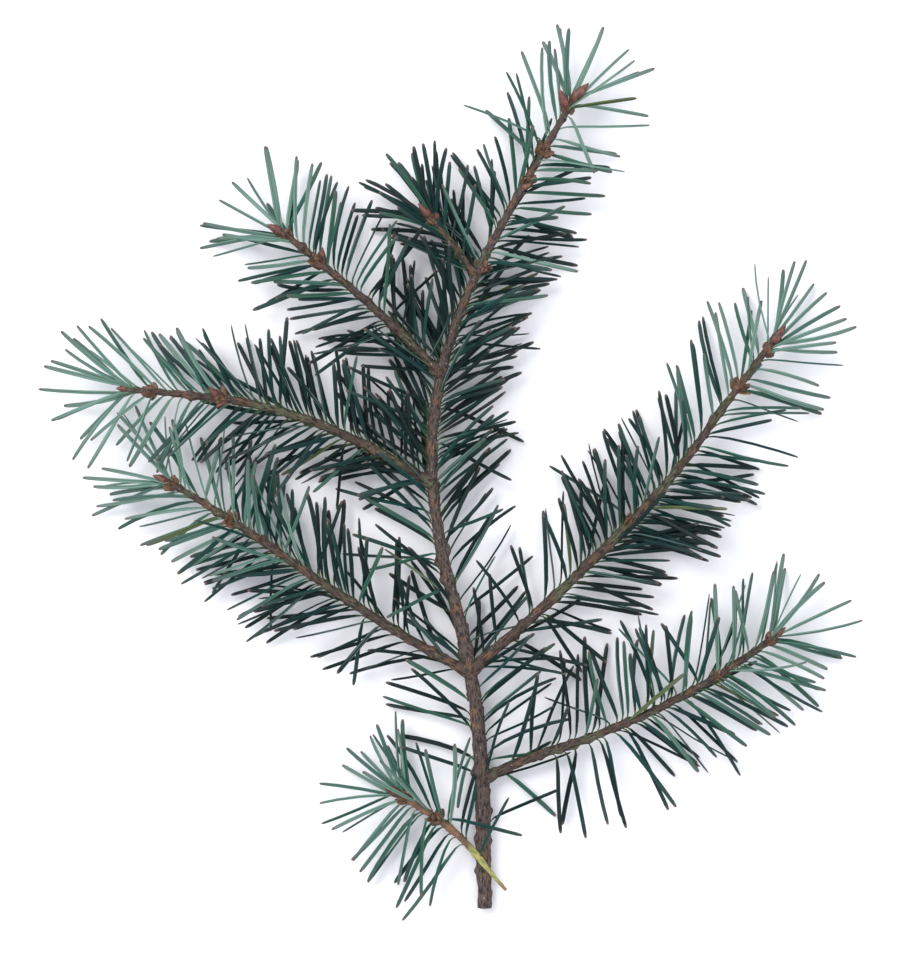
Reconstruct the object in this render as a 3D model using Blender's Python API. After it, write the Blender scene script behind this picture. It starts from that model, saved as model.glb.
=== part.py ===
"""A cut branch of douglas fir, lying flat.

A bark stem, the twigs that leave it, and the masses of needles round them all.
Sizes are in millimetres until the meshes are written, in metres, with +Z up.
The origin is at the middle of the branch's outline, on the surface that it lies on.
"""

import math
import random

import bmesh
import bpy
import numpy as np

MM = 0.001

# Driving sizes
STEM_FOOT = (9.05, -119.88)    # middle of the flat cut, from the origin
STEP = 5.0                     # spacing of the rings along a limb
GAP = 0.3                      # clearance between pieces that touch
MASS_STEP = 5.5                # spacing of the sections of a mass
MASS_RISE = 11.5               # how far needles stand above their limb's middle
LEAST_REACH = 3.4              # the narrowest a mass is on either side of its limb
PARTING = 2.0                  # room kept between the masses of two limbs
BARE_CLEARANCE = 4.5           # from a mass's edge to the middle of a limb with no needles
RAGGED = 0.16                  # how far the outline of a mass runs in and out
UNEVEN = 0.12                  # how far the top of a mass rises and falls
TIP_RISE = 0.55                # height of a mass at its round end, in parts of its rise
MERGE = 0.01                   # corners nearer than this are one
SHARP = math.radians(50.0)     # a ring of edges that turns more than this stays sharp
SEARCH = 0.5                   # steps in which a mass's side reaches out

# Each limb: its length, then headings (degrees from +X), heights of its middle and radii,
# spaced evenly from its foot to its tip.
LIMBS = {
    "stem": dict(
        length=235.0,
        headings=(91, 91, 98, 106, 95, 79, 65, 60, 60),
        heights=(2.2, 3.6, 5.2, 6.6, 7.6, 8.2, 8.6, 9.0, 9.6),
        radii=(1.95, 2.1, 1.85, 1.7, 1.5, 1.4, 1.15, 0.95, 0.8),
    ),
    "twig_lower_right": dict(
        leaves_stem_at=36.0,
        length=92.0,
        headings=(27, 18, 24, 31, 38),
        heights=(4.3, 5.6, 6.4, 7.0, 7.6),
        radii=(1.3, 1.15, 1.05, 0.95, 0.8),
    ),
    "twig_upper_right": dict(
        leaves_stem_at=66.5,
        length=125.0,
        headings=(40, 43, 46, 55, 52),
        heights=(5.6, 6.8, 7.8, 8.6, 9.4),
        radii=(1.4, 1.35, 1.2, 1.0, 0.8),
    ),
    "twig_lower_left": dict(
        leaves_stem_at=66.0,
        length=100.0,
        headings=(153, 148, 145, 146, 150),
        heights=(5.6, 6.6, 7.4, 8.0, 8.6),
        radii=(1.3, 1.25, 1.1, 0.95, 0.8),
    ),
    "twig_middle_left": dict(
        leaves_stem_at=119.5,
        length=90.0,
        headings=(147, 153, 163, 174, 175),
        heights=(7.6, 8.2, 8.6, 9.0, 9.6),
        radii=(1.25, 1.25, 1.1, 0.9, 0.75),
    ),
    "twig_upper_left": dict(
        leaves_stem_at=150.0,
        length=60.0,
        headings=(132, 136, 139, 141, 142),
        heights=(8.2, 8.8, 9.2, 9.8, 10.6),
        radii=(1.2, 1.15, 1.05, 0.9, 0.75),
    ),
    "twig_crown_left": dict(
        leaves_stem_at=179.5,
        length=21.0,
        headings=(129, 129, 129),
        heights=(8.6, 10.4, 12.6),
        radii=(0.9, 0.8, 0.7),
    ),
    "sprig_stalk": dict(
        crosses_stem_at=12.7,
        heel=9.6,
        length=41.0,
        headings=(132, 128, 137, 148, 146),
        heights=(5.2, 6.05, 5.6, 5.6, 6.4),
        radii=(0.35, 0.85, 0.95, 1.0, 0.8),
    ),
}

# Each mass of needles: the limb it grows on, the stretch of that limb, its reach to the left
# and right at the start and end of the stretch, its reach past the limb's tip (0 for a mass
# that stops short of it), and how far its first and last sections turn, in degrees.
def mass(limb, stretch, left, right, tip=0, turn=(0, 0)):
    """One row of the table of masses."""
    return dict(limb=limb, stretch=stretch, left=left, right=right, tip=tip, turn=turn)


MASSES = {
    "needles_stem_low": mass("stem", (43, 62), (16, 31), (24, 28)),
    "needles_stem_fork": mass("stem", (72, 94), (8, 13), (9, 20)),
    "needles_stem_waist": mass("stem", (94.8, 115), (14, 19), (22, 28)),
    "needles_stem_middle": mass("stem", (124, 149.6), (8, 12), (28, 31)),
    "needles_stem_upper": mass("stem", (150.4, 179.6), (8, 14), (31, 31)),
    "needles_stem_crown": mass("stem", (180.4, 208), (8, 19), (31, 31)),
    "needles_stem_tip": mass("stem", (208.8, 235), (25, 23), (29, 22), tip=19.5),
    "needles_lower_right_inner": mass("twig_lower_right", (8, 48), (9, 21), (14, 31)),
    "needles_lower_right_outer": mass("twig_lower_right", (48.8, 92), (22, 24), (27, 22), tip=24),
    "needles_upper_right_inner": mass("twig_upper_right", (7, 62), (7, 28), (9, 23)),
    "needles_upper_right_outer": mass("twig_upper_right", (62.8, 125), (28, 21), (25, 21), tip=20),
    "needles_lower_left_inner": mass("twig_lower_left", (9, 47), (6, 24), (7, 20)),
    "needles_lower_left_outer": mass("twig_lower_left", (47.8, 100), (23, 24), (20, 17), tip=18),
    "needles_middle_left_inner": mass("twig_middle_left", (7, 42), (18, 20), (8, 19)),
    "needles_middle_left_outer": mass("twig_middle_left", (42.8, 90), (20, 20), (21, 22), tip=23.5),
    "needles_upper_left": mass("twig_upper_left", (7, 60), (15, 20), (8, 20), tip=19),
    "needles_crown_left": mass("twig_crown_left", (9, 21), (12, 15), (8, 17), tip=20),
    "needles_sprig": mass("sprig_stalk", (18, 41), (26, 24), (6, 19), tip=19, turn=(26, 0)),
}

# Section of a mass. Across: 0 at the limb, 1 at the end of the needles. Up: in parts of
# MASS_RISE from the limb's middle, with a valley that leaves the limb showing.
TOP_ACROSS = (1.0, 0.8, 0.5, 0.22)
TOP_UP = (-0.15, 0.72, 1.0, 0.45)
VALLEY_UP = 0.0
CLOSED_UP = 0.8
FOOT_ACROSS = 0.82             # the flat underside is narrower than the needles' reach
TIP_SECTIONS = 5
TIP_SLIMMEST = 0.22            # width of the last section, in parts of the full reach

BARK_BROWN = (0.135, 0.085, 0.062, 1.0)
TWIG_BROWN = (0.115, 0.068, 0.048, 1.0)
TORN_YELLOW = (0.42, 0.36, 0.15, 1.0)
NEEDLE_GREEN = (0.035, 0.115, 0.078, 1.0)


def clear_scene():
    """Remove whatever the file opens with."""
    for thing in list(bpy.data.objects):
        bpy.data.objects.remove(thing, do_unlink=True)


def collection(name):
    """A new collection under the scene's own."""
    group = bpy.data.collections.new(name)
    bpy.context.scene.collection.children.link(group)
    return group


def finish(name, colour, roughness):
    """A plain surface of one colour."""
    material = bpy.data.materials.new(name)
    material.use_nodes = True
    surface = material.node_tree.nodes["Principled BSDF"]
    surface.inputs["Base Color"].default_value = colour
    surface.inputs["Roughness"].default_value = roughness
    surface.inputs["Metallic"].default_value = 0.0
    material.diffuse_color = colour
    return material


def evenly(values, share):
    """Read a row of evenly spaced values at a share, 0 to 1, of its length."""
    stations = np.linspace(0.0, 1.0, len(values))
    return np.interp(share, stations, values)


def limb_start(spec, stem_line):
    """Where a limb's middle begins: at the cut, on the stem's middle, or past the stem."""
    if stem_line is None:
        return np.array(STEM_FOOT)
    if "leaves_stem_at" in spec:
        return point_along(stem_line, spec["leaves_stem_at"])
    crossing = point_along(stem_line, spec["crosses_stem_at"])
    toward = math.radians(0.5 * (spec["headings"][0] + spec["headings"][1]))
    return crossing - spec["heel"] * np.array((math.cos(toward), math.sin(toward)))


def limb_line(spec, stem_line=None, spacing=STEP):
    """The limb's middle: distance along, place, heading and radius, one row a ring.

    The place adds up short steps along the heading, which turns evenly between its values.
    """
    count = max(int(round(spec["length"] / spacing)), 4) + 1
    along = np.linspace(0.0, spec["length"], count)
    share = along / spec["length"]
    heading = np.radians(evenly(spec["headings"], share))
    middle_heading = 0.5 * (heading[1:] + heading[:-1])
    stretch = np.diff(along)
    x = np.concatenate(([0.0], np.cumsum(stretch * np.cos(middle_heading))))
    y = np.concatenate(([0.0], np.cumsum(stretch * np.sin(middle_heading))))
    start = limb_start(spec, stem_line)
    return dict(
        along=along,
        place=np.stack((x + start[0], y + start[1], evenly(spec["heights"], share)), axis=1),
        heading=heading,
        radius=evenly(spec["radii"], share),
    )


def point_along(line, distance):
    """The place in plan at a distance, or at each of several, along a limb."""
    x = np.interp(distance, line["along"], line["place"][:, 0])
    y = np.interp(distance, line["along"], line["place"][:, 1])
    return np.stack((x, y), axis=-1)


def tube_curve(name, line, extra, group):
    """A round limb as a bevelled curve with filled ends, extra wider and longer all round."""
    data = bpy.data.curves.new(name, "CURVE")
    data.dimensions = "3D"
    data.bevel_depth = MM
    data.bevel_resolution = 2
    data.use_fill_caps = True
    places = line["place"].copy()
    first = places[0] - places[1]
    last = places[-1] - places[-2]
    places[0] = places[0] + extra * first / np.linalg.norm(first)
    places[-1] = places[-1] + extra * last / np.linalg.norm(last)
    spline = data.splines.new("POLY")
    spline.points.add(len(places) - 1)
    for point, place, radius in zip(spline.points, places, line["radius"]):
        point.co = (*(place * MM), 1.0)
        point.radius = radius + extra
    tube = bpy.data.objects.new(name, data)
    group.objects.link(tube)
    return tube


def mesh_from_curve(curve_object, group):
    """The same tube as a closed mesh object, which can be cut or can cut."""
    name = curve_object.name
    bpy.context.view_layer.update()
    graph = bpy.context.evaluated_depsgraph_get()
    mesh = bpy.data.meshes.new_from_object(curve_object.evaluated_get(graph))
    body = bmesh.new()
    body.from_mesh(mesh)
    bmesh.ops.remove_doubles(body, verts=body.verts, dist=MERGE * MM)
    bmesh.ops.recalc_face_normals(body, faces=body.faces)
    body.to_mesh(mesh)
    body.free()
    matrix = curve_object.matrix_world.copy()
    bpy.data.objects.remove(curve_object, do_unlink=True)
    mesh.name = name
    tube = bpy.data.objects.new(name, mesh)
    tube.matrix_world = matrix
    group.objects.link(tube)
    return tube


def cut_by(target, cutter):
    """Take the cutter's shape out of the target."""
    cut = target.modifiers.new("clear of " + cutter.name, "BOOLEAN")
    cut.operation = "DIFFERENCE"
    cut.solver = "EXACT"
    cut.object = cutter


def room_beside(place, normal, reach, rivals, bare):
    """How far a side reaches before another mass's limb is nearer, or a bare limb is close."""
    for distance in np.arange(LEAST_REACH, reach, SEARCH):
        spot = place + normal * distance
        to_rival = np.sqrt(((rivals - spot) ** 2).sum(axis=1)).min()
        to_bare = np.sqrt(((bare - spot) ** 2).sum(axis=1)).min()
        if to_rival < distance + PARTING or to_bare < BARE_CLEARANCE:
            return distance
    return reach


def mass_axis(line, start, end, tip):
    """Rows of distance, place, heading and share past the tip (0 on the limb, 1 at the end)."""
    count = max(int(round((end - start) / MASS_STEP)), 3) + 1
    along = np.linspace(start, end, count)
    x = np.interp(along, line["along"], line["place"][:, 0])
    y = np.interp(along, line["along"], line["place"][:, 1])
    z = np.interp(along, line["along"], line["place"][:, 2])
    heading = np.interp(along, line["along"], line["heading"])
    past = np.zeros(count)
    if tip:
        beyond = np.sin(np.linspace(0.0, 0.5 * math.pi, TIP_SECTIONS + 1))[1:]
        x = np.concatenate((x, x[-1] + beyond * tip * math.cos(heading[-1])))
        y = np.concatenate((y, y[-1] + beyond * tip * math.sin(heading[-1])))
        z = np.concatenate((z, np.full(TIP_SECTIONS, z[-1])))
        heading = np.concatenate((heading, np.full(TIP_SECTIONS, heading[-1])))
        past = np.concatenate((past, beyond))
    return x, y, z, heading, past


def leafy_places(name, lines):
    """In plan, the stretch of a limb that a mass grows on, carried on into its tip needles."""
    row = MASSES[name]
    line = lines[row["limb"]]
    along = np.arange(row["stretch"][0] - LEAST_REACH, row["stretch"][1], 1.0)
    places = point_along(line, along)
    if row["tip"]:
        heading = line["heading"][-1]
        reach = np.arange(0.0, 0.5 * row["tip"], 1.0)[:, None]
        ahead = reach * np.array((math.cos(heading), math.sin(heading)))
        places = np.concatenate((places, line["place"][-1, :2] + ahead))
    return places


def mass_sections(name, lines, seed):
    """The corner rings of a mass of needles, one row a section, running round it."""
    row = MASSES[name]
    draw = random.Random(seed)
    x, y, z, heading, past = mass_axis(lines[row["limb"]], *row["stretch"], row["tip"])
    others = [other for other in MASSES if MASSES[other]["limb"] != row["limb"]]
    rivals = np.concatenate([leafy_places(other, lines) for other in others])
    limbs = [line["place"][:, :2] for key, line in lines.items() if key != row["limb"]]
    bare = np.concatenate(limbs)
    share = np.arange(len(x)) / (len(x) - 1)
    turned = heading + np.radians(evenly(row["turn"], share))
    rings = []
    for index in range(len(x)):
        place = np.array((x[index], y[index]))
        normal = np.array((-math.sin(turned[index]), math.cos(turned[index])))
        taper = max(math.sqrt(max(1.0 - past[index] ** 2, 0.0)), TIP_SLIMMEST)
        swell = 1.0 - RAGGED * draw.random() if index % 2 else 1.0
        rise = MASS_RISE * (1.0 - UNEVEN * draw.random()) * (TIP_RISE + (1.0 - TIP_RISE) * taper)
        reaches = []
        for side, span in ((1.0, row["left"]), (-1.0, row["right"])):
            wanted = evenly(span, share[index]) * swell * taper
            reaches.append(room_beside(place, side * normal, wanted, rivals, bare))
        middle_up = VALLEY_UP if past[index] == 0.0 else CLOSED_UP
        ring = []
        for across, up in zip(TOP_ACROSS, TOP_UP):
            ring.append((across * reaches[0], z[index] + up * rise))
        ring.append((0.0, z[index] + middle_up * rise))
        for across, up in zip(reversed(TOP_ACROSS), reversed(TOP_UP)):
            ring.append((-across * reaches[1], z[index] + up * rise))
        ring.append((-FOOT_ACROSS * reaches[1], 0.0))
        ring.append((FOOT_ACROSS * reaches[0], 0.0))
        rings.append([(*(place + normal * offset), height) for offset, height in ring])
    return rings


def mass_object(name, lines, seed, group):
    """A closed mesh lofted through the sections, with both ends filled."""
    rings = mass_sections(name, lines, seed)
    corners = len(rings[0])
    points = [tuple(value * MM for value in corner) for ring in rings for corner in ring]
    faces = []
    for row in range(len(rings) - 1):
        for column in range(corners):
            following = (column + 1) % corners
            faces.append((
                row * corners + column,
                row * corners + following,
                (row + 1) * corners + following,
                (row + 1) * corners + column,
            ))
    faces.append(tuple(range(corners)))
    faces.append(tuple(range((len(rings) - 1) * corners, len(rings) * corners)))
    mesh = bpy.data.meshes.new(name)
    mesh.from_pydata(points, [], faces)
    body = bmesh.new()
    body.from_mesh(mesh)
    bmesh.ops.recalc_face_normals(body, faces=body.faces)
    body.to_mesh(mesh)
    body.free()
    needles = bpy.data.objects.new(name, mesh)
    group.objects.link(needles)
    return needles


def nearby(first, second):
    """Whether the boxes of two objects meet."""
    boxes = []
    for thing in (first, second):
        corners = np.array([corner[:] for corner in thing.bound_box])
        boxes.append((corners.min(axis=0), corners.max(axis=0)))
    (low_a, high_a), (low_b, high_b) = boxes
    return bool(np.all(low_a <= high_b) and np.all(low_b <= high_a))


def build():
    """Make every piece of the branch."""
    clear_scene()
    branch = collection("cut fir branch")
    cutters = collection("clearances")
    stem_line = limb_line(LIMBS["stem"])
    lines = {"stem": stem_line}
    for name, spec in LIMBS.items():
        if name != "stem":
            lines[name] = limb_line(spec, stem_line)

    clearances = {}
    for name, line in lines.items():
        wide = tube_curve(name + " clearance", line, GAP, cutters)
        clearances[name] = mesh_from_curve(wide, cutters)
        clearances[name].hide_render = True
        clearances[name].display_type = "WIRE"

    for name, line in lines.items():
        limb = mesh_from_curve(tube_curve(name, line, 0.0, branch), branch)
        limb.data.shade_smooth()
        limb.data.set_sharp_from_angle(angle=SHARP)
        if "leaves_stem_at" in LIMBS[name]:
            cut_by(limb, clearances["stem"])
        if name == "stem":
            limb.data.materials.append(finish("bark of the stem", BARK_BROWN, 0.85))
        elif name == "sprig_stalk":
            limb.data.materials.append(finish("torn wood of the stalk", TORN_YELLOW, 0.7))
        else:
            limb.data.materials.append(finish("bark of " + name, TWIG_BROWN, 0.8))

    for seed, name in enumerate(MASSES):
        needles = mass_object(name, lines, seed, branch)
        needles.data.materials.append(finish("green of " + name, NEEDLE_GREEN, 0.5))
        for cutter in clearances.values():
            if nearby(needles, cutter):
                cut_by(needles, cutter)


build()
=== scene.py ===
"""The looks of a cut branch of douglas fir, lying flat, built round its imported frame.

Lengths are in millimetres in the branch's own frame (+Y towards the tip, +Z up, the surface it
lies on at zero) and turn to metres as each mesh is made. Angles are in degrees.
"""

import math

import bpy
import numpy as np
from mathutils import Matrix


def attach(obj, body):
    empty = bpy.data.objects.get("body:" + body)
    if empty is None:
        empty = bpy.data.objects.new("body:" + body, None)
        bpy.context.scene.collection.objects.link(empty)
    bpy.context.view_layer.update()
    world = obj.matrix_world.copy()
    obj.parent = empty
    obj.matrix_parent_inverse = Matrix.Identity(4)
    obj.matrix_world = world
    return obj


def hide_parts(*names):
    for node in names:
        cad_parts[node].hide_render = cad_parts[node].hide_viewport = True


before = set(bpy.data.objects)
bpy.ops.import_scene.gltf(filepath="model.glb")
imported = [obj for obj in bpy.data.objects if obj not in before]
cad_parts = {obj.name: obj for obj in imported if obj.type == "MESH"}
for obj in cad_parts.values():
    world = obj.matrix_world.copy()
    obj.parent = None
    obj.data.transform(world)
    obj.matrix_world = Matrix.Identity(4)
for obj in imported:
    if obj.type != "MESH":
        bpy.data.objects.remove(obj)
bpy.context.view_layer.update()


# The stem
# The branch's main axis: a woody rod under thin rough bark, sawn flat at its foot and ending in a
# bud. Made as rings carried along its line, with furrows, leaf pegs and knots raised on them.

MM = 0.001
STEM_FOOT = (9.05, -119.88)
STEM = dict(
    length=235.0,
    headings=(91, 91, 98, 106, 95, 79, 65, 60, 60),
    heights=(2.2, 3.6, 5.2, 6.6, 7.6, 8.2, 8.6, 9.0, 9.6),
    radii=(1.95, 2.1, 1.85, 1.7, 1.5, 1.4, 1.15, 0.95, 0.8),
)
STEM_SIDES = 44
RING_STEP = 0.3
# height of the relief, number of waves, shortest wave along the limb, most waves round it
STEM_RELIEF = ((0.10, 10, 7.0, 1), (0.075, 30, 2.2, 9), (0.035, 40, 0.8, 16))
LONGEST_WAVE = 4.0             # times the shortest
# distance from the foot, angle from the left side, size, height
STEM_KNOTS = (
    (10.5, 10.0, 1.1, 0.75), (19.0, 175.0, 1.0, 0.5), (19.3, 12.0, 1.2, 0.8), (27.0, 200.0, 1.3, 0.6),
    (38.0, 5.0, 1.3, 1.1), (58.5, 130.0, 1.0, 0.5), (72.0, 20.0, 1.2, 0.9), (72.8, 165.0, 1.1, 0.7),
    (93.0, 15.0, 1.2, 0.9), (98.5, 0.0, 1.1, 0.8), (100.5, 175.0, 1.3, 1.0), (119.0, 185.0, 1.2, 0.7),
    (150.5, 180.0, 1.3, 0.6), (168.0, 150.0, 1.0, 0.5), (181.0, 180.0, 1.6, 1.0), (186.0, 60.0, 1.2, 0.6),
    (205.0, 120.0, 0.9, 0.5),
)
SPIRAL = math.radians(137.5)   # the turn from each leaf peg to the next
PEG_BACK = 1.5                 # how far a peg reaches to the foot, to the tip and round the limb
PEG_AHEAD = 0.35
PEG_WIDTH = 0.45
PEG_STRAY = 0.2
PEG_HEIGHTS = (0.5, 1.2)       # times the height that is asked for
BLUNT_END = 0.02               # the square of the share of its radius that a limb's end keeps

FULL_TURN = 2.0 * math.pi
UNDERSIDE = -0.5 * math.pi     # the seam of the bark's map runs along the underside
GRAIN_MAP = "grain"
BAKE_MAP = "OFBake"
BAKE_STRIPS = 4                # the bark's map is cut in strips that lie side by side
STRIP_MARGIN = 0.02            # of a strip's width, kept free at each side
BAKE_END = 0.98                # the rest of the map is kept for the end caps
CAP_WIDTH = 0.2
CAP_HEIGHT = 0.8               # of half that rest
QUAD_CORNERS = np.array(((0, 0), (0, 1), (1, 1), (1, 0)))

BARK_ROUGHNESS = 0.82
BARK_SHINE = 0.3
# The greater a scale, the finer the pattern; the furrows are finer round the limb than along it.
RUST_SCALE = 260.0
FILM_SCALE = 140.0
SPECK_SCALE = 1500.0
FURROW_STRETCH = (2.2, 0.5, 1.0)
RUST_BORDER = 0.06             # how softly a patch of rust or green film ends
FILM_BORDER = 0.08
FURROW_RANGE = (0.54, 0.40)    # where the pattern starts to darken, and where it is darkest
FLECK_RANGE = (0.64, 0.76)
BUMP_STRENGTH = 0.6
BUMP_DEPTH = 0.12


def evenly(values, share):
    """Reads evenly spaced values at a share, 0 to 1, of their length, on straight lines."""
    return np.interp(share, np.linspace(0.0, 1.0, len(values)), values)


def limb_line(spec, start):
    """The middle of a limb: each place is the sum of short steps along the heading so far."""
    count = int(spec["length"] / RING_STEP) + 1
    along = np.linspace(0.0, spec["length"], count)
    share = along / spec["length"]
    heading = np.radians(evenly(spec["headings"], share))
    middle = 0.5 * (heading[1:] + heading[:-1])
    x = start[0] + np.concatenate(([0.0], np.cumsum(np.diff(along) * np.cos(middle))))
    y = start[1] + np.concatenate(([0.0], np.cumsum(np.diff(along) * np.sin(middle))))
    place = np.stack((x, y, evenly(spec["heights"], share)), axis=1)
    return dict(along=along, place=place, heading=heading, radius=evenly(spec["radii"], share))


def reading(line, key, distance):
    """A limb's heading, radius or place, read at each distance along it."""
    values = line[key]
    if values.ndim == 1:
        return np.interp(distance, line["along"], values)
    columns = [np.interp(distance, line["along"], values[:, axis]) for axis in range(3)]
    return np.stack(columns, axis=-1)


def unit(vectors):
    """Vectors scaled to length one."""
    return vectors / np.linalg.norm(vectors, axis=-1, keepdims=True)


def cross_axes(place):
    """The left and up directions square to a line: left is level, up completes the pair."""
    forward = unit(np.gradient(place, axis=0))
    left = unit(np.cross((0.0, 0.0, 1.0), forward))
    return left, np.cross(forward, left)


def waves(draw, along, around, count, shortest, most_round):
    """Uneven relief, mostly between -1 and 1: a sum of sine waves that run round and along a limb."""
    total = np.zeros(np.broadcast(along, around).shape)
    for _ in range(count):
        turns = draw.integers(0, most_round + 1)
        pace = FULL_TURN / (shortest * draw.uniform(1.0, LONGEST_WAVE))
        total += np.sin(turns * around + pace * along + draw.uniform(0.0, FULL_TURN))
    return total / math.sqrt(count)


def uneven(draw, line, around, rows):
    """Waves on waves round a limb: the sum of height x waves over the rows of a relief."""
    along = line["along"][:, None]
    return sum(height * waves(draw, along, around[None, :], *rest) for height, *rest in rows)


def turn_from(angle, around):
    """The turn from one angle to each of the others, the short way round."""
    return (around[None, :] - angle + math.pi) % FULL_TURN - math.pi


def leaf_pegs(draw, line, around, spacing, height, start=0.0):
    """The pegs that needles stand on: humps on a spiral, steep to the tip and long to the foot.

    Each adds height times exp(-(distance along / reach)^2 - (distance round / width)^2).
    """
    total = np.zeros((len(line["along"]), len(around)))
    for number, at in enumerate(np.arange(start, line["along"][-1], spacing)):
        rows = np.abs(line["along"] - at) < 4.0 * PEG_BACK
        ahead = line["along"][rows][:, None] - at - draw.normal(0.0, PEG_STRAY)
        aside = turn_from(number * SPIRAL, around) * line["radius"][rows][:, None]
        reach = np.where(ahead > 0.0, PEG_AHEAD, PEG_BACK)
        hump = np.exp(-(ahead / reach) ** 2 - (aside / PEG_WIDTH) ** 2)
        total[rows] += height * draw.uniform(*PEG_HEIGHTS) * hump
    return total


def knots(line, around, rows):
    """Lumps left by lost twigs: each adds height times exp(-(distance / size)^2)."""
    total = np.zeros((len(line["along"]), len(around)))
    for at, angle, size, height in rows:
        ahead = (line["along"][:, None] - at) / size
        aside = turn_from(math.radians(angle), around) * line["radius"][:, None] / size
        total += height * np.exp(-ahead ** 2 - aside ** 2)
    return total


def tube_points(line, around, radius):
    """Rings: place + radius (cos angle x left + sin angle x up), one row of corners a ring."""
    left, up = cross_axes(line["place"])
    spokes = np.cos(around)[None, :, None] * left[:, None] + np.sin(around)[None, :, None] * up[:, None]
    return line["place"][:, None] + radius[:, :, None] * spokes


def tube_faces(rows, columns):
    """Quads between neighbouring rings, then one many-sided face at each end."""
    row, column = np.meshgrid(np.arange(rows - 1), np.arange(columns), indexing="ij")
    after = (column + 1) % columns
    quads = np.stack((row * columns + column, row * columns + after,
                      (row + 1) * columns + after, (row + 1) * columns + column), axis=-1)
    first = list(range(columns))[::-1]
    last = list(range((rows - 1) * columns, rows * columns))
    return quads.reshape(-1, 4).tolist() + [first, last]


def tube_maps(line, rows, columns, around_mm):
    """Two maps of a tube: the grain in millimetres, and strips laid side by side for baking.

    The faces that close the tube's ends are small discs at the end of the second map.
    """
    row, column = np.meshgrid(np.arange(rows - 1), np.arange(columns), indexing="ij")
    rows_at = row[..., None] + QUAD_CORNERS[:, 0]
    columns_at = column[..., None] + QUAD_CORNERS[:, 1]
    distance = line["along"][rows_at]
    grain = np.stack((columns_at / columns * around_mm, distance), axis=-1).reshape(-1, 2)
    strip_rows = math.ceil((rows - 1) / BAKE_STRIPS)
    strip = row[..., None] // strip_rows
    inside = STRIP_MARGIN + (1.0 - 2.0 * STRIP_MARGIN) * columns_at / columns
    down = (rows_at - strip * strip_rows) / strip_rows * BAKE_END
    bake = np.stack(((strip + inside) / BAKE_STRIPS, down), axis=-1).reshape(-1, 2)
    angle = np.arange(columns) / columns * FULL_TURN
    half_rest = 0.5 * (1.0 - BAKE_END)
    for centre, end in ((0.25, 0.0), (0.75, line["along"][-1])):
        across = centre + CAP_WIDTH * np.cos(angle)
        disc = np.stack((across, 1.0 - half_rest + CAP_HEIGHT * half_rest * np.sin(angle)), axis=-1)
        rim = np.stack((angle / FULL_TURN * around_mm, np.full(columns, end)), axis=-1)
        bake = np.concatenate((bake, disc))
        grain = np.concatenate((grain, rim))
    return grain, bake


def new_piece(name, points, faces, materials, body="root"):
    """A smooth mesh piece with its place in its mesh, riding on the branch."""
    mesh = bpy.data.meshes.new(name)
    mesh.from_pydata((np.asarray(points).reshape(-1, 3) * MM).tolist(), [], faces)
    mesh.polygons.foreach_set("use_smooth", np.full(len(mesh.polygons), True))
    for material in materials:
        mesh.materials.append(material)
    mesh.update()
    piece = bpy.data.objects.new(name, mesh)
    bpy.context.scene.collection.objects.link(piece)
    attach(piece, body)
    return piece


def add_map(piece, name, corners):
    """Gives a piece a UV map, one pair of numbers a face corner."""
    layer = piece.data.uv_layers.new(name=name)
    layer.data.foreach_set("uv", np.asarray(corners, dtype=np.float32).ravel())


def new_material(name, roughness):
    """A material with its shader, and a short way to add and link nodes."""
    material = bpy.data.materials.new(name)
    material.use_nodes = True
    tree = material.node_tree
    shader = tree.nodes["Principled BSDF"]
    shader.inputs["Roughness"].default_value = roughness

    def node(kind, **settings):
        made = tree.nodes.new(kind)
        for key, value in settings.items():
            setattr(made, key, value)
        return made

    return material, shader, node, tree.links.new


def feed(link, value, socket):
    """Gives a socket its value: another socket, a number, or a colour of three numbers."""
    if isinstance(value, bpy.types.NodeSocket):
        link(value, socket)
    elif isinstance(value, float):
        socket.default_value = value
    else:
        socket.default_value = (*value, 1.0)


def worked_out(node, link, operation, *values):
    """One step of arithmetic on sockets or numbers."""
    step = node("ShaderNodeMath", operation=operation)
    for socket, value in zip(step.inputs, values):
        feed(link, value, socket)
    return step.outputs[0]


def mixed(node, link, share, first, second):
    """A colour between two, by a share from a socket or a number. Colours may be sockets."""
    mix = node("ShaderNodeMix", data_type="RGBA")
    feed(link, share, mix.inputs[0])
    feed(link, first, mix.inputs[6])
    feed(link, second, mix.inputs[7])
    return mix.outputs[2]


def between(node, link, value, low, high):
    """0 at low and 1 at high, held past them, with a soft step between. Low may be the greater."""
    step = node("ShaderNodeMapRange", interpolation_type="SMOOTHSTEP")
    link(value, step.inputs[0])
    step.inputs[1].default_value = low
    step.inputs[2].default_value = high
    return step.outputs[0]


def shaded(node, link, colour, pattern, limits, other):
    """A colour that turns to another as a pattern goes from its first limit to its second."""
    return mixed(node, link, between(node, link, pattern, *limits), colour, other)


def noise(node, link, place, scale, detail):
    """Cloudy unevenness, about 0 to 1, read at a place."""
    texture = node("ShaderNodeTexNoise")
    link(place, texture.inputs["Vector"])
    texture.inputs["Scale"].default_value = scale
    texture.inputs["Detail"].default_value = detail
    return texture.outputs[0]


def stretched(node, link, grain, scales):
    """The grain map drawn out along the limb, so that a pattern on it runs lengthwise."""
    stretch = node("ShaderNodeMapping")
    stretch.inputs["Scale"].default_value = scales
    link(grain, stretch.inputs[0])
    return stretch.outputs[0]


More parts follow.
